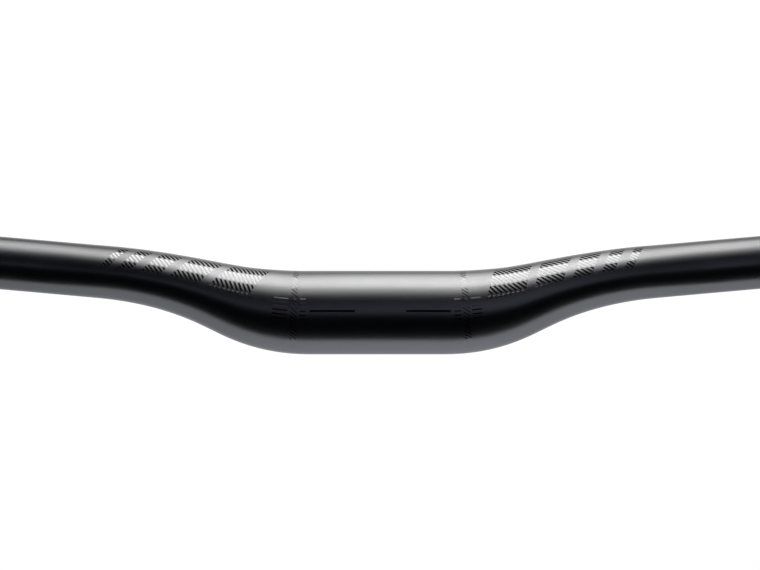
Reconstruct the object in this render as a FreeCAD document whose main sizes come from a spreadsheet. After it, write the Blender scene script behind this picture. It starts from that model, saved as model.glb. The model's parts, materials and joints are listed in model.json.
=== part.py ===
import FreeCAD, Part
import math
import os

import Sketcher

# Mountain bike riser handlebar: one aluminium tube, swaged, butted and bent, open at both ends.
# +X runs along the bar to the rider's left, +Y back towards the rider and +Z up. The origin is the middle of
# the stem clamp. Lengths are millimetres and angles are degrees.
DRIVING_DIMENSIONS = {
    # stem clamp: the round, straight stretch in the middle
    "clamp_diameter": 35.0,
    "clamp_length": 52.0,
    "clamp_wall": 2.4,
    # inner bend, from the clamp up into the riser; the angles are those of the front and plan views
    "clamp_runout": 3.0,
    "inner_bend_radius": 100.0,
    "riser_angle": 17.9,
    "riser_backsweep": 4.0,
    "riser_straight": 9.0,
    # outer bend, from the riser out into the grip
    "outer_bend_radius": 200.0,
    "upsweep": 5.0,
    "backsweep": 8.0,
    "grip_runout": 8.0,
    # how far each end of the taper's curve holds its direction
    "clamp_ease": 40.0,
    "grip_ease": 65.0,
    # grips, out to the cut ends of the bar
    "grip_diameter": 22.2,
    "grip_wall": 1.9,
    "bar_width": 800.0,
    "end_chamfer": 0.5,
}

# spans between the sections along the taper from the clamp to the grip
TAPER_SPANS = 18
# how far the centre of a rim may lie from the end of the centreline
RIM_TOLERANCE = 0.01

ALONG_BAR = FreeCAD.Vector(1, 0, 0)
TOWARDS_RIDER = FreeCAD.Vector(0, 1, 0)


def make_sheet(doc):
    """The spreadsheet of driving dimensions, one row each, with the name as alias."""
    sheet = doc.addObject("Spreadsheet::Sheet", "dimensions")
    for row, (alias, value) in enumerate(DRIVING_DIMENSIONS.items(), start=1):
        sheet.set(f"A{row}", alias)
        sheet.set(f"B{row}", str(value))
        sheet.setAlias(f"B{row}", alias)
    doc.recompute()
    return sheet


def heading(backsweep, upsweep):
    """Direction of a run that shows these angles in the plan and front views."""
    slope_back = math.tan(math.radians(backsweep))
    slope_up = math.tan(math.radians(upsweep))
    return FreeCAD.Vector(1, slope_back, slope_up).normalize()


def bend(start, before, after, radius):
    """Arc from start that turns one direction into another."""
    turn = before.getAngle(after)
    reach = radius * math.tan(turn / 2)
    corner = start + before * reach
    end = corner + after * reach
    inwards = (after - before).normalize()
    crown = corner + inwards * radius * (1 / math.cos(turn / 2) - 1)
    return Part.Arc(start, crown, end).toShape()


def run(start, direction, length):
    """Straight stretch of the centreline."""
    return Part.LineSegment(start, start + direction * length).toShape()


def end_point(edge):
    return edge.valueAt(edge.LastParameter)


def make_centreline(size):
    """Edges of the tube's centreline from the middle of the clamp to the left end of the bar."""
    riser = heading(size("riser_backsweep"), size("riser_angle"))
    grip = heading(size("backsweep"), size("upsweep"))
    clamp_run = run(FreeCAD.Vector(), ALONG_BAR, size("clamp_length") / 2 + size("clamp_runout"))
    inner_bend = bend(end_point(clamp_run), ALONG_BAR, riser, size("inner_bend_radius"))
    riser_run = run(end_point(inner_bend), riser, size("riser_straight"))
    outer_bend = bend(end_point(riser_run), riser, grip, size("outer_bend_radius"))
    bend_end = end_point(outer_bend)
    grip_run = run(bend_end, grip, (size("bar_width") / 2 - bend_end.x) / grip.x)
    return [clamp_run, inner_bend, riser_run, outer_bend, grip_run]


def place_across(centreline, distance):
    """Placement across the tube at a distance along the centreline, with its own X towards the rider."""
    for edge in centreline:
        if distance <= edge.Length or edge is centreline[-1]:
            break
        distance -= edge.Length
    along = edge.getParameterByLength(distance)
    facing = FreeCAD.Rotation(TOWARDS_RIDER, FreeCAD.Vector(), edge.tangentAt(along), "ZXY")
    return FreeCAD.Placement(edge.valueAt(along), facing)


def taper_stations(size, taper_length):
    """Distance from the middle of the bar, and share of the change from clamp to grip, at each section.

    The taper is one cubic curve that leaves the clamp and meets the grip along the tube, and its
    sections stand closer together towards both ends, so that it meets the straight stretches smoothly.
    """
    for step in range(TAPER_SPANS + 1):
        t = (1 - math.cos(math.pi * step / TAPER_SPANS)) / 2
        leaving = 3 * (1 - t) ** 2 * t
        arriving = 3 * (1 - t) * t**2
        share = arriving + t**3
        distance = leaving * size("clamp_ease")
        distance += arriving * (taper_length - size("grip_ease")) + t**3 * taper_length
        yield size("clamp_length") / 2 + distance, share


def between(clamp_size, grip_size, share):
    """Expression for a size that changes from the clamp's to the grip's."""
    return f"({clamp_size}) * {1 - share:.9f} + ({grip_size}) * {share:.9f}"


OUTSIDE = ("dimensions.clamp_diameter", "dimensions.grip_diameter")
BORE = (
    "dimensions.clamp_diameter - 2 * dimensions.clamp_wall",
    "dimensions.grip_diameter - 2 * dimensions.grip_wall",
)


def origin_plane(body, role):
    return next(feature for feature in body.Origin.OriginFeatures if feature.Role == role)


def circle_across(body, name, placement, diameter):
    """Sketch of one circle on the centreline; diameter is an expression of the sheet's values."""
    plane = origin_plane(body, "YZ_Plane")
    sketch = body.newObject("Sketcher::SketchObject", name)
    sketch.AttachmentSupport = [(plane, "")]
    sketch.MapMode = "FlatFace"
    sketch.AttachmentOffset = plane.Placement.inverse() * placement
    unit_circle = Part.Circle()
    circle = sketch.addGeometry(unit_circle)
    sketch.addConstraint(Sketcher.Constraint("Coincident", circle, 3, -1, 1))
    constraint = sketch.addConstraint(Sketcher.Constraint("Diameter", circle, 2 * unit_circle.Radius))
    sketch.setExpression(f"Constraints[{constraint}]", diameter)
    return sketch


def make_tube(body, size, centreline, name, kinds, diameters):
    """Clamp, taper and grip of the left half, then the right half as its mirror image.

    The same steps add the outside of the bar and cut its bore.
    """
    straight_kind, taper_kind = kinds
    grip_run = centreline[-1]
    bend_end = sum(edge.Length for edge in centreline[:-1])
    taper_length = bend_end + size("grip_runout") - size("clamp_length") / 2

    middle = place_across(centreline, 0)
    clamp = body.newObject(straight_kind, f"{name}_clamp")
    clamp.Profile = circle_across(body, f"{name}_clamp_circle", middle, diameters[0])
    clamp.SideType = "Symmetric"
    clamp.setExpression("Length", "dimensions.clamp_length")

    sections = []
    for number, (distance, share) in enumerate(taper_stations(size, taper_length)):
        placement = place_across(centreline, distance)
        section_name = f"{name}_section_{number:02d}"
        sections.append(circle_across(body, section_name, placement, between(*diameters, share)))
    taper = body.newObject(taper_kind, f"{name}_taper")
    taper.Profile = sections[0]
    taper.Sections = sections[1:]

    grip = body.newObject(straight_kind, f"{name}_grip")
    grip.Profile = sections[-1]
    grip.Length = grip_run.Length - size("grip_runout")
    grip.Reversed = straight_kind == "PartDesign::Pocket"

    mirrored = body.newObject("PartDesign::Mirrored", f"{name}_mirrored")
    mirrored.Originals = [taper, grip]
    mirrored.MirrorPlane = (origin_plane(body, "YZ_Plane"), [""])
    body.Tip = mirrored


def chamfer_ends(doc, body, centreline):
    """Break the outer and inner edges of both cut ends."""
    doc.recompute()
    tube = body.Tip
    left_end = end_point(centreline[-1])
    right_end = FreeCAD.Vector(-left_end.x, left_end.y, left_end.z)
    rims = []
    for number, edge in enumerate(tube.Shape.Edges, start=1):
        middle = edge.CenterOfMass
        if min(middle.distanceToPoint(left_end), middle.distanceToPoint(right_end)) < RIM_TOLERANCE:
            rims.append(f"Edge{number}")
    chamfer = body.newObject("PartDesign::Chamfer", "end_chamfers")
    chamfer.Base = (tube, rims)
    chamfer.setExpression("Size", "dimensions.end_chamfer")
    body.Tip = chamfer


def make_handlebar(doc, sheet):
    body = doc.addObject("PartDesign::Body", "handlebar")
    body.Label = "handlebar"

    def size(alias):
        return float(sheet.get(alias))

    centreline = make_centreline(size)
    make_tube(body, size, centreline, "outside", ("PartDesign::Pad", "PartDesign::AdditiveLoft"), OUTSIDE)
    make_tube(body, size, centreline, "bore", ("PartDesign::Pocket", "PartDesign::SubtractiveLoft"), BORE)
    chamfer_ends(doc, body, centreline)
    return body


def check(doc, parts):
    """Stop if any object failed or any sub-part has no sound solid."""
    for item in doc.Objects:
        if "Invalid" in item.State or "Error" in item.State:
            raise RuntimeError(f"{item.Label} failed: {item.State}")
    for part in parts:
        if part.Shape.isNull() or not part.Shape.isValid():
            raise RuntimeError(f"{part.Label} has no sound shape")


def main():
    doc = FreeCAD.newDocument("mountain_bike_handlebar")
    sheet = make_sheet(doc)
    parts = [make_handlebar(doc, sheet)]
    doc.recompute()
    check(doc, parts)
    os.makedirs("parts", exist_ok=True)
    for part in parts:
        part.Shape.exportStep(f"parts/{part.Label}.step")
        print(f"{part.Label}: {len(part.Shape.Solids)} solid, {part.Shape.Volume / 1000:.2f} cm3")


main()
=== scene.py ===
import json
import math

import bmesh
import bpy
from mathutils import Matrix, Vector


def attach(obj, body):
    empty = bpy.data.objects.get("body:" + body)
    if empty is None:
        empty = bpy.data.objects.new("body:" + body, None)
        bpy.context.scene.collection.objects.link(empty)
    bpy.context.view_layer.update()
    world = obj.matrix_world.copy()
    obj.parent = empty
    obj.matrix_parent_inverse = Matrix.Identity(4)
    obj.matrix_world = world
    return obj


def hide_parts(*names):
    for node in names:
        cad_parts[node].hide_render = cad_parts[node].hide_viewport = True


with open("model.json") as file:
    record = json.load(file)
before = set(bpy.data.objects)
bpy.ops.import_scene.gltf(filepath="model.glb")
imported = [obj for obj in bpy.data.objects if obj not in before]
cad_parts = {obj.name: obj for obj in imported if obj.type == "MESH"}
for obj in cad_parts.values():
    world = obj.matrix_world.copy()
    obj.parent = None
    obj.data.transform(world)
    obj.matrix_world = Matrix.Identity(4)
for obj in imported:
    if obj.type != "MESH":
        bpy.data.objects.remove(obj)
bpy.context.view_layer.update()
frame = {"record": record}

# Sizes are in metres. +X is the rider's left, +Y points back towards the rider and +Z up, as in the frame.
MM = 0.001
FULL_TURN = 2 * math.pi

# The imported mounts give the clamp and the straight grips. The left half is the +X half.
MOUNTS = {mount["name"]: mount for mount in frame["record"]["mounts"]}


def mount_size(mount, size):
    return MOUNTS[mount]["dims"][size] * MM


CLAMP_RADIUS = mount_size("stem_clamp", "r_mm")
CLAMP_END = mount_size("stem_clamp", "length_mm") / 2
CLAMP_WALL = 2.4 * MM
CLAMP_BORE = CLAMP_RADIUS - CLAMP_WALL
GRIP_RADIUS = mount_size("left_grip", "r_mm")
GRIP_LENGTH = mount_size("left_grip", "length_mm")
GRIP_HEADING = Vector(MOUNTS["left_grip"]["axis"]).normalized()
GRIP_BORE = mount_size("left_end_bore", "r_mm")
END_CHAMFER = 0.5 * MM

# The bends between the clamp and each grip, and the taper that runs through them.
CLAMP_RUNOUT = 3.0 * MM
INNER_BEND_RADIUS = 100.0 * MM
RISER_ANGLE = math.radians(17.9)
RISER_BACKSWEEP = math.radians(4.0)
RISER_STRAIGHT = 9.0 * MM
OUTER_BEND_RADIUS = 200.0 * MM
GRIP_RUNOUT = 8.0 * MM
CLAMP_EASE = 40.0 * MM
GRIP_EASE = 65.0 * MM

# The bar's depth narrows more slowly than its height, so the risers are oval, deeper than they are high.
DEPTH_TAPER_LENGTH = 117.0 * MM
DEPTH_CLAMP_EASE = 31.0 * MM
DEPTH_GRIP_EASE = 22.0 * MM
TAPER_HALVINGS = 40

ALONG_BAR = Vector((1, 0, 0))
TOWARDS_RIDER = Vector((0, 1, 0))
RISER_HEADING = Vector((1, math.tan(RISER_BACKSWEEP), math.tan(RISER_ANGLE))).normalized()


class Straight:
    """Straight stretch of the centreline."""

    def __init__(self, start, heading, length):
        self.start = start
        self.heading = heading
        self.length = length

    def at(self, distance):
        return self.start + self.heading * distance, self.heading


class Bend:
    """Arc of the centreline that turns one heading into another."""

    def __init__(self, start, before, after, radius):
        self.start = start
        self.before = before
        self.radius = radius
        self.length = radius * before.angle(after)
        self.inwards = (after - before * before.dot(after)).normalized()

    def at(self, distance):
        turn = distance / self.radius
        across = self.before * math.sin(turn) + self.inwards * (1 - math.cos(turn))
        heading = self.before * math.cos(turn) + self.inwards * math.sin(turn)
        return self.start + across * self.radius, heading


def make_centreline():
    """Stretches of the left half's centreline, from the middle of the clamp to the end of the bar."""
    clamp = Straight(Vector(), ALONG_BAR, CLAMP_END + CLAMP_RUNOUT)
    inner_bend = Bend(clamp.at(clamp.length)[0], ALONG_BAR, RISER_HEADING, INNER_BEND_RADIUS)
    riser = Straight(inner_bend.at(inner_bend.length)[0], RISER_HEADING, RISER_STRAIGHT)
    outer_bend = Bend(riser.at(riser.length)[0], RISER_HEADING, GRIP_HEADING, OUTER_BEND_RADIUS)
    grip_length = GRIP_RUNOUT + GRIP_LENGTH + END_CHAMFER
    grip = Straight(outer_bend.at(outer_bend.length)[0], GRIP_HEADING, grip_length)
    return [clamp, inner_bend, riser, outer_bend, grip]


CENTRELINE = make_centreline()
BAR_END = sum(stretch.length for stretch in CENTRELINE)
RIM = BAR_END - END_CHAMFER
GRIP_START = RIM - GRIP_LENGTH
HEIGHT_TAPER = (GRIP_START - CLAMP_END, CLAMP_EASE, GRIP_EASE)
DEPTH_TAPER = (DEPTH_TAPER_LENGTH, DEPTH_CLAMP_EASE, DEPTH_GRIP_EASE)


def centre_at(distance):
    """Point and heading on the centreline; a negative distance is on the right half."""
    along = abs(distance)
    for stretch in CENTRELINE:
        if along <= stretch.length or stretch is CENTRELINE[-1]:
            break
        along -= stretch.length
    point, heading = stretch.at(along)
    if distance < 0:
        point = Vector((-point.x, point.y, point.z))
        heading = Vector((heading.x, -heading.y, -heading.z))
    return point, heading


def cubic(t, first, second, end):
    """A cubic Bezier curve from 0 to end, with two control values between."""
    return 3 * (1 - t) ** 2 * t * first + 3 * (1 - t) * t**2 * second + t**3 * end


def taper_share(distance, length, clamp_ease, grip_ease):
    """Share of the change from clamp to grip: a cubic curve that leaves and arrives along the tube."""
    along = abs(distance) - CLAMP_END
    if along <= 0:
        return 0.0
    if along >= length:
        return 1.0
    low, high = 0.0, 1.0
    for _ in range(TAPER_HALVINGS):
        middle = (low + high) / 2
        if cubic(middle, clamp_ease, length - grip_ease, length) < along:
            low = middle
        else:
            high = middle
    return cubic(low, 0.0, 1.0, 1.0)


def section_at(distance, clamp_radius, grip_radius):
    """Half the height and half the depth of the tube."""
    change = grip_radius - clamp_radius
    return [clamp_radius + change * taper_share(distance, *taper) for taper in (HEIGHT_TAPER, DEPTH_TAPER)]


def outside_at(distance):
    return section_at(distance, CLAMP_RADIUS, GRIP_RADIUS)


def bore_at(distance):
    return section_at(distance, CLAMP_BORE, GRIP_BORE)


def around(distance, section, angle):
    """Point on an oval around the centreline; angle 0 faces the front and a quarter turn faces up."""
    point, heading = centre_at(distance)
    rear = (TOWARDS_RIDER - heading * TOWARDS_RIDER.dot(heading)).normalized()
    up = heading.cross(rear)
    half_height, half_depth = section
    return point + up * half_height * math.sin(angle) - rear * half_depth * math.cos(angle)


def steps_between(start, end, step):
    """Even places from start up to, but not at, end."""
    count = max(1, round((end - start) / step))
    return [start + (end - start) * i / count for i in range(count)]


def new_object(name, data):
    thing = bpy.data.objects.new(name, data)
    bpy.context.scene.collection.objects.link(thing)
    return thing


# Each light shines on one of these groups.
BAR_PIECES = bpy.data.collections.new("bar_pieces")
SATIN_PIECES = bpy.data.collections.new("satin_pieces")
PRINT_PIECES = bpy.data.collections.new("print_pieces")
FLOOR_PIECES = bpy.data.collections.new("floor_pieces")


def put_in(thing, *groups):
    for group in groups:
        group.objects.link(thing)


# Materials. A noise's scale is about how many of its patches fit in a metre.

LACQUER_IOR = 1.5
NOISE_LOW = 0.35
NOISE_HIGH = 0.65


def new_material(name):
    material = bpy.data.materials.new(name)
    material.use_nodes = True
    tree = material.node_tree
    return material, tree, tree.nodes["Principled BSDF"]


def add_node(tree, kind, values=None, links=None):
    """A new node with values on some inputs and other nodes' outputs linked to some."""
    node = tree.nodes.new(kind)
    for name, value in (values or {}).items():
        node.inputs[name].default_value = value
    for name, output in (links or {}).items():
        tree.links.new(output, node.inputs[name])
    return node


def own_place(tree):
    """A point's place on its object."""
    return add_node(tree, "ShaderNodeTexCoord").outputs["Object"]


def noise(tree, place, scale, detail):
    values = {"Scale": scale, "Detail": detail}
    return add_node(tree, "ShaderNodeTexNoise", values, {"Vector": place}).outputs["Fac"]


def spread(tree, value, low, high):
    """The middle of a noise's range stretched from low to high."""
    values = {"From Min": NOISE_LOW, "From Max": NOISE_HIGH, "To Min": low, "To Max": high}
    return add_node(tree, "ShaderNodeMapRange", values, {"Value": value}).outputs["Result"]


def tint(tree, value, dark, light):
    ramp = add_node(tree, "ShaderNodeValToRGB", links={"Fac": value})
    ramp.color_ramp.elements[0].color = (*dark, 1)
    ramp.color_ramp.elements[1].color = (*light, 1)
    return ramp.outputs["Color"]


def bump(tree, height, depth, strength):
    values = {"Strength": strength, "Distance": depth}
    return add_node(tree, "ShaderNodeBump", values, {"Height": height}).outputs["Normal"]


def dress(tree, shader, colour, roughness, normal):
    tree.links.new(colour, shader.inputs["Base Color"])
    tree.links.new(roughness, shader.inputs["Roughness"])
    tree.links.new(normal, shader.inputs["Normal"])
    shader.inputs["IOR"].default_value = LACQUER_IOR


SATIN_DARK = (0.0001, 0.0003, 0.0020)
SATIN_LIGHT = (0.0003, 0.0005, 0.0028)
SATIN_SMOOTHEST = 0.285
SATIN_ROUGHEST = 0.305
SATIN_CLOUD_SCALE = 90.0
SATIN_GRAIN_SCALE = 2600.0
SATIN_GRAIN_DEPTH = 0.02 * MM
SATIN_GRAIN_STRENGTH = 0.12


def satin_black():
    """Blasted black finish: a very fine grain, and a gloss that is faintly cloudy."""
    material, tree, shader = new_material("satin_black")
    place = own_place(tree)
    clouds = noise(tree, place, SATIN_CLOUD_SCALE, detail=3.0)
    grain = noise(tree, place, SATIN_GRAIN_SCALE, detail=2.0)
    colour = tint(tree, clouds, SATIN_DARK, SATIN_LIGHT)
    roughness = spread(tree, clouds, SATIN_SMOOTHEST, SATIN_ROUGHEST)
    dress(tree, shader, colour, roughness, bump(tree, grain, SATIN_GRAIN_DEPTH, SATIN_GRAIN_STRENGTH))
    return material


BORE_DARK = (0.010, 0.010, 0.011)
BORE_LIGHT = (0.022, 0.022, 0.024)
BORE_SMOOTHEST = 0.38
BORE_ROUGHEST = 0.52
STREAK_SCALE = (12.0, 1500.0, 1.0)
STREAK_DEPTH = 0.03 * MM
STREAK_STRENGTH = 0.5


def drawn_bore():
    """Dull black inside of the tube, with faint lines along it from drawing."""
    material, tree, shader = new_material("drawn_bore")
    place = add_node(tree, "ShaderNodeUVMap").outputs["UV"]
    stretched = add_node(tree, "ShaderNodeMapping", {"Scale": STREAK_SCALE}, {"Vector": place})
    streaks = noise(tree, stretched.outputs["Vector"], scale=1.0, detail=3.0)
    colour = tint(tree, streaks, BORE_DARK, BORE_LIGHT)
    roughness = spread(tree, streaks, BORE_SMOOTHEST, BORE_ROUGHEST)
    dress(tree, shader, colour, roughness, bump(tree, streaks, STREAK_DEPTH, STREAK_STRENGTH))
    return material


INK_DARK = (0.0030, 0.0030, 0.0036)
INK_LIGHT = (0.0042, 0.0042, 0.0050)
INK_SMOOTHEST = 0.08
INK_ROUGHEST = 0.12
INK_CLOUD_SCALE = 220.0
INK_RIPPLE_SCALE = 700.0
INK_RIPPLE_DEPTH = 0.01 * MM
INK_RIPPLE_STRENGTH = 0.10


def gloss_print():
    """Gloss black ink: smooth, with the soft ripple of a printed film."""
    material, tree, shader = new_material("gloss_print")
    place = own_place(tree)
    clouds = noise(tree, place, INK_CLOUD_SCALE, detail=2.0)
    ripple = noise(tree, place, INK_RIPPLE_SCALE, detail=1.0)
    colour = tint(tree, clouds, INK_DARK, INK_LIGHT)
    roughness = spread(tree, clouds, INK_SMOOTHEST, INK_ROUGHEST)
    dress(tree, shader, colour, roughness, bump(tree, ripple, INK_RIPPLE_DEPTH, INK_RIPPLE_STRENGTH))
    return material


SATIN = satin_black()
BORE = drawn_bore()
GLOSS = gloss_print()

# The bar: one closed skin, along the outside from end to end and back through the bore.

RING_POINTS = 128
CLAMP_STEP = 6.5 * MM
TAPER_STEP = 1.5 * MM
GRIP_STEP = 12.0 * MM
TAPER_END = CLAMP_END + DEPTH_TAPER_LENGTH
BORE_GIRTH = FULL_TURN * GRIP_BORE


def stations():
    """Distances along the whole bar at which its skin has a ring, from rim to rim."""
    half = steps_between(0.0, CLAMP_END, CLAMP_STEP)
    half += steps_between(CLAMP_END, TAPER_END, TAPER_STEP)
    half += steps_between(TAPER_END, RIM, GRIP_STEP)
    half.append(RIM)
    return [-distance for distance in reversed(half[1:])] + half


def bar_profile():
    """Distance and section of each ring, and the numbers of the rings with a hard edge and in the bore."""
    places = stations()
    outer_rim = [GRIP_RADIUS - END_CHAMFER] * 2
    inner_rim = [GRIP_BORE + END_CHAMFER] * 2
    profile = [(-BAR_END, outer_rim)]
    profile += [(place, outside_at(place)) for place in places]
    profile += [(BAR_END, outer_rim), (BAR_END, inner_rim)]
    profile += [(place, bore_at(place)) for place in reversed(places)]
    profile += [(-BAR_END, inner_rim)]
    left = len(places)
    right = len(profile) - 1
    hard_rings = (0, 1, left, left + 1, left + 2, left + 3, right - 1, right)
    return profile, hard_rings, range(left + 3, right - 1)


def add_ring(build, distance, section):
    turns = steps_between(0.0, FULL_TURN, FULL_TURN / RING_POINTS)
    return [build.verts.new(around(distance, section, turn)) for turn in turns]


def join_rings(build, ring, after, span, material_index, along_around):
    """Faces from one ring to the next, with distance along the bar and around the bore as UV."""
    begin, end = span
    for i in range(RING_POINTS):
        j = (i + 1) % RING_POINTS
        face = build.faces.new((ring[i], ring[j], after[j], after[i]))
        face.smooth = True
        face.material_index = material_index
        low, high = (BORE_GIRTH * step / RING_POINTS for step in (i, i + 1))
        corners = ((begin, low), (begin, high), (end, high), (end, low))
        for loop, corner in zip(face.loops, corners):
            loop[along_around].uv = corner


def harden(build, ring):
    for i in range(RING_POINTS):
        build.edges.get((ring[i], ring[(i + 1) % RING_POINTS])).smooth = False


def bar_mesh():
    profile, hard_rings, bore_rings = bar_profile()
    build = bmesh.new()
    along_around = build.loops.layers.uv.new("along_around")
    rings = [add_ring(build, *place) for place in profile]
    for number, ring in enumerate(rings):
        following = (number + 1) % len(rings)
        span = (profile[number][0], profile[following][0])
        join_rings(build, ring, rings[following], span, int(number in bore_rings), along_around)
    for number in hard_rings:
        harden(build, rings[number])
    bmesh.ops.recalc_face_normals(build, faces=build.faces)
    mesh = bpy.data.meshes.new("bar_skin")
    build.to_mesh(mesh)
    build.free()
    return mesh


def make_bar():
    mesh = bar_mesh()
    mesh.materials.append(SATIN)
    mesh.materials.append(BORE)
    skin = new_object("bar_skin", mesh)
    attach(skin, "root")
    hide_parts("handlebar")
    put_in(skin, BAR_PIECES, SATIN_PIECES)


# Printed marks: thin films of gloss ink, drawn as flat outlines in distance along the bar and angle
# around it, and wrapped on the satin tube.

FILM_LIFT = 0.03 * MM
FILM_ROOT = 0.02 * MM
FILM_TURN_STEP = math.radians(2.0)
FILM_ALONG_STEP = 1.2 * MM
SAME_PLACE = 0.001 * MM
SAME_ANGLE = 1e-7
HARD_EDGE = math.radians(40)


def crossing(outline, angle):
    """Where a convex outline begins and ends along the bar at an angle."""
    places = []
    for (start, low), (end, high) in zip(outline, outline[1:] + outline[:1]):
        if abs(high - low) < SAME_ANGLE:
            if abs(low - angle) < SAME_ANGLE:
                places += [start, end]
        elif min(low, high) - SAME_ANGLE <= angle <= max(low, high) + SAME_ANGLE:
            places.append(start + (end - start) * (angle - low) / (high - low))
    return min(places), max(places)


def rows_of(outline):
    """A convex outline as rows at rising angles, each with its begin and end along the bar."""
    corners = sorted(angle for _, angle in outline)
    angles = [corners[0]]
    for corner in corners[1:]:
        if corner - angles[-1] > SAME_ANGLE:
            angles += steps_between(angles[-1], corner, FILM_TURN_STEP)[1:] + [corner]
    return [(angle, *crossing(outline, angle)) for angle in angles]


def cut(outline, keeps):
    """The part of a convex outline where keeps(point) isn't negative; keeps is linear in the point."""
    kept = []
    for here, after in zip(outline, outline[1:] + outline[:1]):
        value, next_value = keeps(here), keeps(after)
        if value >= 0:
            kept.append(here)
        if value * next_value < 0:
            share = value / (value - next_value)
            kept.append(tuple(a + (b - a) * share for a, b in zip(here, after)))
    return kept


class Print:
    """A group of printed marks that is one piece."""

    def __init__(self, name):
        self.name = name
        self.build = bmesh.new()

    def patch(self, outline):
        """A convex outline wrapped on the bar as a closed film."""
        rows = rows_of(outline)
        widest = max(end - begin for _, begin, end in rows)
        columns = max(1, math.ceil(widest / FILM_ALONG_STEP))
        top, bottom = ([self.row(row, columns, lift) for row in rows] for lift in (FILM_LIFT, -FILM_ROOT))
        for i in range(len(rows) - 1):
            for j in range(columns):
                for sheet in (top, bottom):
                    self.face(sheet[i][j], sheet[i][j + 1], sheet[i + 1][j + 1], sheet[i + 1][j])
            for j in (0, columns):
                self.face(top[i][j], top[i + 1][j], bottom[i + 1][j], bottom[i][j])
        for j in range(columns):
            for i in (0, len(rows) - 1):
                self.face(top[i][j], top[i][j + 1], bottom[i][j + 1], bottom[i][j])

    def row(self, row, columns, lift):
        angle, begin, end = row
        places = [begin + (end - begin) * i / columns for i in range(columns + 1)]
        sections = [[half + lift for half in outside_at(place)] for place in places]
        return [self.build.verts.new(around(*ring, angle)) for ring in zip(places, sections)]

    def face(self, *corners):
        self.build.faces.new(corners).smooth = True

    def line(self, begin, end, angle, width):
        """A straight line along the bar."""
        half = width / 2 / outside_at((begin + end) / 2)[0]
        self.patch([(begin, angle - half), (end, angle - half), (end, angle + half), (begin, angle + half)])

    def hatch(self, outline, pitch, width, lean):
        """Stripes across a convex outline; lean is how far they shift along the bar per radian."""
        offsets = [place + lean * angle for place, angle in outline]
        first = math.ceil((min(offsets) - width) / pitch)
        last = math.floor(max(offsets) / pitch)
        for number in range(first, last + 1):
            start = number * pitch
            stripe = cut(outline, lambda point: point[0] + lean * point[1] - start)
            if stripe:
                stripe = cut(stripe, lambda point: start + width - point[0] - lean * point[1])
            if len(stripe) > 2:
                self.patch(stripe)

    def finish(self):
        bmesh.ops.remove_doubles(self.build, verts=self.build.verts, dist=SAME_PLACE)
        bmesh.ops.recalc_face_normals(self.build, faces=self.build.faces)
        for edge in self.build.edges:
            edge.smooth = edge.calc_face_angle(math.pi) < HARD_EDGE
        mesh = bpy.data.meshes.new(self.name)
        self.build.to_mesh(mesh)
        self.build.free()
        mesh.materials.append(GLOSS)
        piece = new_object(self.name, mesh)
        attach(piece, "root")
        put_in(piece, BAR_PIECES, PRINT_PIECES)


HATCH_PITCH = 2.0 * MM
HATCH_WIDTH = 1.05 * MM
HATCH_LEAN = 11.0 * MM
BLOCK_WIDTHS = (17.0 * MM, 12.0 * MM, 8.0 * MM, 5.5 * MM, 3.6 * MM)
BLOCK_GAP = 4.0 * MM
BLOCK_LEAN = 7.0 * MM
BLOCK_LOW = math.radians(14)
BLOCK_HIGH = math.radians(84)
BLOCKS_START = 50.0 * MM


def hatched_blocks(name, side):
    """Leaning blocks of stripes on a riser, each shorter than the one before it; side is 1 or -1."""
    mark = Print(name)
    middle = (BLOCK_LOW + BLOCK_HIGH) / 2
    place = BLOCKS_START
    for width in BLOCK_WIDTHS:
        ends = sorted((side * place, side * (place + width)))
        outline = []
        for angle, order in ((BLOCK_LOW, (0, 1)), (BLOCK_HIGH, (1, 0))):
            outline += [(ends[i] + BLOCK_LEAN * (angle - middle), angle) for i in order]
        mark.hatch(outline, HATCH_PITCH, HATCH_WIDTH, HATCH_LEAN)
        place += width + BLOCK_GAP
    mark.finish()


LINE_ANGLE = math.radians(2.4)
LINE_WIDTH = 0.9 * MM
TICK_WIDTH = 0.55 * MM
TICK_COUNT = 6
TICK_LOW = math.radians(-9.0)
TICK_STEP = math.radians(5.6)
RING_LOW = math.radians(-62)
RING_HIGH = math.radians(82)
RING_PITCH = 2.1 * MM
RING_STRIPE = 0.55 * MM
RING_LEAN = 22.0 * MM


def clamp_scale(name, line, ring, ticks):
    """Marks beside the clamp that show how far the bar is turned: a line, a ring and two rows of ticks."""
    mark = Print(name)
    mark.line(*line, LINE_ANGLE, LINE_WIDTH)
    begin, end = ring
    outline = [(begin, RING_LOW), (end, RING_LOW), (end, RING_HIGH), (begin, RING_HIGH)]
    mark.hatch(outline, RING_PITCH, RING_STRIPE, RING_LEAN)
    for begin, end in ticks:
        for number in range(TICK_COUNT):
            mark.line(begin, end, TICK_LOW + TICK_STEP * number, TICK_WIDTH)
    mark.finish()


def mm_span(begin, end):
    return begin * MM, end * MM


def make_marks():
    """The marks of both sides; the two scales aren't quite mirror images."""
    hatched_blocks("hatched_blocks_left", 1)
    hatched_blocks("hatched_blocks_right", -1)
    clamp_scale(
        "clamp_scale_left",
        line=mm_span(12.2, 30.6),
        ring=mm_span(35.6, 38.3),
        ticks=(mm_span(32.0, 34.8), mm_span(39.2, 43.3)),
    )
    clamp_scale(
        "clamp_scale_right",
        line=mm_span(-28.1, -9.2),
        ring=mm_span(-35.8, -33.2),
        ticks=(mm_span(-32.0, -29.5), mm_span(-43.1, -36.9)),
    )


# Studio: a white surround, a pale floor, soft lights overhead, weak panels in front and beyond both ends,
# and a bright card below.

PHOTO_WIDTH = 760
PHOTO_HEIGHT = 570
PIXELS_PER_METRE = 2389.0
CLAMP_PIXEL_X = 377.04
CLAMP_PIXEL_Y = 312.58
CAMERA_DISTANCE = 2.0
SENSOR_WIDTH = 36.0
WHITE = (1, 1, 1)


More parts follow.
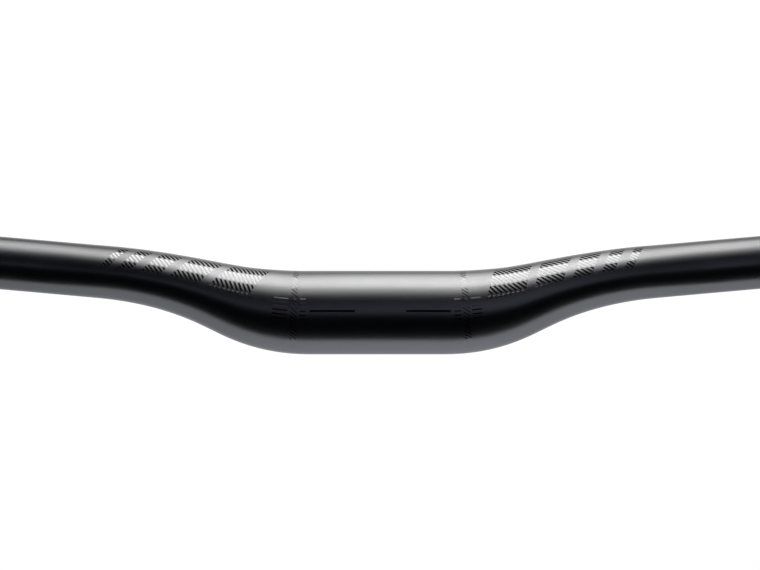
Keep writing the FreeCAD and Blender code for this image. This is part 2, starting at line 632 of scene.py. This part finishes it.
def make_camera():
    """Level with the bar and straight in front of it, framed as in the photo."""
    data = bpy.data.cameras.new("camera")
    data.sensor_width = SENSOR_WIDTH
    data.lens = SENSOR_WIDTH * CAMERA_DISTANCE * PIXELS_PER_METRE / PHOTO_WIDTH
    camera = new_object("camera", data)
    right = (PHOTO_WIDTH / 2 - CLAMP_PIXEL_X) / PIXELS_PER_METRE
    up = (CLAMP_PIXEL_Y - PHOTO_HEIGHT / 2) / PIXELS_PER_METRE
    camera.location = (right, -CAMERA_DISTANCE, up)
    camera.rotation_euler = (math.pi / 2, 0, 0)
    bpy.context.scene.camera = camera


def emission_material(name, colour, clear=False):
    """A glowing surface; a clear one doesn't hide what is behind it."""
    material = bpy.data.materials.new(name)
    material.use_nodes = True
    tree = material.node_tree
    tree.nodes.clear()
    emission = add_node(tree, "ShaderNodeEmission", {"Color": (*colour, 1)})
    surface = emission.outputs["Emission"]
    if clear:
        both = tree.nodes.new("ShaderNodeAddShader")
        tree.links.new(surface, both.inputs[0])
        tree.links.new(add_node(tree, "ShaderNodeBsdfTransparent").outputs["BSDF"], both.inputs[1])
        surface = both.outputs["Shader"]
    add_node(tree, "ShaderNodeOutputMaterial", links={"Surface": surface})
    return material, tree, emission


def maths(tree, operation, *terms):
    node = tree.nodes.new("ShaderNodeMath")
    node.operation = operation
    for socket, term in zip(node.inputs, terms):
        if isinstance(term, (int, float)):
            socket.default_value = term
        else:
            tree.links.new(term, socket)
    return node.outputs["Value"]


def flat_mesh(name, corners):
    mesh = bpy.data.meshes.new(name)
    mesh.from_pydata(corners, [], [range(len(corners))])
    return mesh


def rectangle(x_span, y_span):
    (left, right), (front, rear) = x_span, y_span
    return [(left, front, 0), (right, front, 0), (right, rear, 0), (left, rear, 0)]


def light_only(thing, receivers):
    """Makes a stage object a light for the receivers alone, which the camera doesn't see."""
    thing.light_linking.receiver_collection = receivers
    thing.visible_camera = False
    thing.visible_shadow = False


def across_and_back(tree):
    """A point's X and Y on its object."""
    parts = add_node(tree, "ShaderNodeSeparateXYZ", links={"Vector": own_place(tree)}).outputs
    return parts["X"], parts["Y"]


def fade_in(tree, value, start, end):
    """0 at start and 1 at end, with a soft change between them."""
    fade = add_node(tree, "ShaderNodeMapRange", {"From Min": start, "From Max": end}, {"Value": value})
    fade.interpolation_type = "SMOOTHSTEP"
    return fade.outputs["Result"]


OVERHEAD_HEIGHT = 0.79
LIGHT_SPACING = 0.01


def soft_light(name, receivers, layer, width, depth, fades, strength):
    """A level light overhead that fades in from its front edge and out to its rear edge."""
    mesh = flat_mesh(name, rectangle(width, depth))
    light = new_object(name, mesh)
    light.location.z = OVERHEAD_HEIGHT + LIGHT_SPACING * layer
    material, tree, emission = emission_material(name, WHITE, clear=True)
    _, place = across_and_back(tree)
    front = fade_in(tree, place, depth[0], depth[0] + fades[0])
    rear = fade_in(tree, place, depth[1], depth[1] - fades[1])
    level = maths(tree, "MULTIPLY", maths(tree, "MULTIPLY", front, rear), strength)
    tree.links.new(level, emission.inputs["Strength"])
    mesh.materials.append(material)
    light_only(light, receivers)


def make_print_lights():
    """Two crisp lights that the gloss ink mirrors."""
    soft_light("print_light", PRINT_PIECES, layer=0, strength=17.0,
               width=(-0.27, 0.35), depth=(-0.34, 0.34), fades=(0.12, 0.12))
    soft_light("print_spark", PRINT_PIECES, layer=0, strength=3.0,
               width=(-0.20, 0.20), depth=(-1.12, -0.92), fades=(0.05, 0.05))


def make_satin_lights():
    """Overlapping soft lights that make one uneven glow along the top of the satin."""
    soft_light("satin_wash", SATIN_PIECES, layer=1, strength=9.2,
               width=(-0.30, 0.35), depth=(-0.85, 0.70), fades=(0.775, 0.775))
    soft_light("satin_rear", SATIN_PIECES, layer=2, strength=3.5,
               width=(-0.05, 0.15), depth=(-0.70, 0.95), fades=(1.24, 0.41))
    soft_light("satin_band", SATIN_PIECES, layer=3, strength=7.2,
               width=(-0.10, 0.30), depth=(-0.30, 0.10), fades=(0.10, 0.30))
    soft_light("satin_core", SATIN_PIECES, layer=4, strength=3.8,
               width=(-0.15, 0.25), depth=(-0.30, 0.50), fades=(0.40, 0.40))
    soft_light("satin_right", SATIN_PIECES, layer=5, strength=5.6,
               width=(-0.45, -0.25), depth=(-0.60, 0.30), fades=(0.675, 0.225))
    soft_light("satin_left", SATIN_PIECES, layer=6, strength=2.9,
               width=(0.30, 0.50), depth=(-1.00, 0.95), fades=(1.46, 0.49))


FRONT_DISTANCE = 1.5
FRONT_COLOUR = (0.94, 0.96, 1.2)


def upright_panel(name, receivers, width, rise, colour, strength):
    """A weak upright light that faces along Y."""
    mesh = flat_mesh(name, rectangle(width, rise))
    material, _, emission = emission_material(name, colour, clear=True)
    emission.inputs["Strength"].default_value = strength
    mesh.materials.append(material)
    panel = new_object(name, mesh)
    panel.rotation_euler.x = math.pi / 2
    light_only(panel, receivers)
    return panel


def front_panel(name, receivers, layer, strength, width, rise):
    panel = upright_panel(name, receivers, width, rise, FRONT_COLOUR, strength)
    panel.location.y = -FRONT_DISTANCE - LIGHT_SPACING * layer


def make_front_panels():
    """Panels that lift the front of the bar out of black, one of them for the ink."""
    front_panel("print_panel", PRINT_PIECES, layer=0, strength=0.50,
                width=(-0.40, 0.40), rise=(0.38, 0.80))
    front_panel("satin_panel_wide", SATIN_PIECES, layer=1, strength=0.19,
                width=(-0.60, 1.20), rise=(-0.15, 0.55))
    front_panel("satin_panel_middle", SATIN_PIECES, layer=2, strength=0.66,
                width=(0.00, 0.60), rise=(-0.05, 0.85))
    front_panel("satin_panel_right", SATIN_PIECES, layer=3, strength=0.42,
                width=(-0.90, -0.10), rise=(-0.05, 0.25))
    front_panel("satin_panel_left", SATIN_PIECES, layer=4, strength=0.52,
                width=(0.40, 0.80), rise=(-0.15, 0.15))


SIDE_DISTANCE = 1.6
SIDE_STRENGTH = 1.5
SIDE_WIDTH = (-1.2, 1.4)
SIDE_RISE = (-0.1, 1.8)


def make_side_panels():
    """A panel beyond each end of the bar, for the cut ends."""
    for name, side in (("side_panel_left", 1), ("side_panel_right", -1)):
        panel = upright_panel(name, BAR_PIECES, SIDE_WIDTH, SIDE_RISE, WHITE, SIDE_STRENGTH)
        panel.location.x = side * SIDE_DISTANCE
        panel.rotation_euler.z = math.pi / 2


CARD_HEIGHT = -0.24
CARD_WIDTH = (-1.5, 1.5)
CARD_FRONT = -0.046
CARD_REAR = 4.0
CARD_STRENGTH = 3.65
CARD_SLOPE = 0.38
CARD_CURVE = 2.0
CARD_FADE = 0.24
CARD_LEAST = 0.85
CARD_COLOUR = (0.97, 0.99, 1.08)


def make_bounce_card():
    """A bright card below that fades to the rear and to both ends, less to the left than to the right."""
    mesh = flat_mesh("bounce_card", rectangle(CARD_WIDTH, (CARD_FRONT, CARD_REAR)))
    card = new_object("bounce_card", mesh)
    card.location.z = CARD_HEIGHT
    material, tree, emission = emission_material("bounce_card", CARD_COLOUR)
    across, back = across_and_back(tree)
    behind = maths(tree, "SUBTRACT", back, CARD_FRONT)
    fade = maths(tree, "EXPONENT", maths(tree, "DIVIDE", behind, -CARD_FADE))
    slope = maths(tree, "MULTIPLY_ADD", across, -CARD_CURVE, CARD_SLOPE)
    share = maths(tree, "MULTIPLY", maths(tree, "MULTIPLY_ADD", across, slope, 1.0), CARD_STRENGTH)
    strength = maths(tree, "MAXIMUM", maths(tree, "MULTIPLY", fade, share), CARD_LEAST)
    tree.links.new(strength, emission.inputs["Strength"])
    mesh.materials.append(material)
    card.visible_diffuse = False
    light_only(card, BAR_PIECES)


FLOOR_HEIGHT = -0.25
FLOOR_RADIUS = 2.2
FLOOR_POINTS = 96
FLOOR_DARK = (0.60, 0.60, 0.60)
FLOOR_LIGHT = (0.63, 0.63, 0.63)
FLOOR_CLOUD_SCALE = 3.0
FLOOR_ROUGHNESS = 0.9
FLOOR_GLOW = 0.30
RIM_GLOW = 0.45
FLOOR_SUN = 2.6
FLOOR_SUN_ANGLE = math.radians(30)


def disc(radius):
    turns = steps_between(0.0, FULL_TURN, FULL_TURN / FLOOR_POINTS)
    return [(radius * math.cos(turn), radius * math.sin(turn), 0.0) for turn in turns]


def pale_floor():
    """Pale and faintly cloudy, with a painted glow that grows lighter towards the rim."""
    material, tree, shader = new_material("pale_floor")
    place = own_place(tree)
    clouds = noise(tree, place, FLOOR_CLOUD_SCALE, detail=2.0)
    tree.links.new(tint(tree, clouds, FLOOR_DARK, FLOOR_LIGHT), shader.inputs["Base Color"])
    # The emission is a painted glow, weaker in the middle of the floor and stronger at its rim.
    reach = add_node(tree, "ShaderNodeVectorMath", links={"Vector": place})
    reach.operation = "LENGTH"
    values = {"From Max": FLOOR_RADIUS, "To Min": FLOOR_GLOW, "To Max": RIM_GLOW}
    glow = add_node(tree, "ShaderNodeMapRange", values, {"Value": reach.outputs["Value"]})
    tree.links.new(glow.outputs["Result"], shader.inputs["Emission Strength"])
    shader.inputs["Emission Color"].default_value = (*WHITE, 1)
    shader.inputs["Roughness"].default_value = FLOOR_ROUGHNESS
    return material


def make_floor():
    """A disc well below the bar with a soft light of its own."""
    mesh = flat_mesh("floor", disc(FLOOR_RADIUS))
    mesh.materials.append(pale_floor())
    floor = new_object("floor", mesh)
    floor.location.z = FLOOR_HEIGHT
    floor.visible_glossy = False
    floor.visible_diffuse = False
    put_in(floor, FLOOR_PIECES)
    sun = bpy.data.lights.new("floor_sun", "SUN")
    sun.energy = FLOOR_SUN
    sun.angle = FLOOR_SUN_ANGLE
    light = new_object("floor_sun", sun)
    light.light_linking.receiver_collection = FLOOR_PIECES


SHOWN_STRENGTH = 1.03
SURROUND_STRENGTH = 1.0
SURROUND_START = 0.65
SURROUND_FULL = 0.85


def make_surround():
    """White all round for the camera; what the bar reflects of it is bright behind and dark in front."""
    world = bpy.data.worlds.new("surround")
    bpy.context.scene.world = world
    world.use_nodes = True
    tree = world.node_tree
    tree.nodes.clear()
    direction = add_node(tree, "ShaderNodeTexCoord").outputs["Generated"]
    rearwards = add_node(tree, "ShaderNodeSeparateXYZ", links={"Vector": direction}).outputs["Y"]
    values = {"From Min": SURROUND_START, "From Max": SURROUND_FULL, "To Max": SURROUND_STRENGTH}
    strength = add_node(tree, "ShaderNodeMapRange", values, {"Value": rearwards}).outputs["Result"]
    white = {"Color": (*WHITE, 1)}
    reflected = add_node(tree, "ShaderNodeBackground", white, {"Strength": strength})
    shown = add_node(tree, "ShaderNodeBackground", {**white, "Strength": SHOWN_STRENGTH})
    camera_ray = add_node(tree, "ShaderNodeLightPath").outputs["Is Camera Ray"]
    mix = add_node(tree, "ShaderNodeMixShader", links={"Fac": camera_ray})
    tree.links.new(reflected.outputs["Background"], mix.inputs[1])
    tree.links.new(shown.outputs["Background"], mix.inputs[2])
    add_node(tree, "ShaderNodeOutputWorld", links={"Surface": mix.outputs["Shader"]})


def make_studio():
    make_camera()
    make_print_lights()
    make_satin_lights()
    make_front_panels()
    make_side_panels()
    make_bounce_card()
    make_floor()
    make_surround()
    bpy.context.scene.view_settings.view_transform = "Standard"


make_bar()
make_marks()
make_studio()
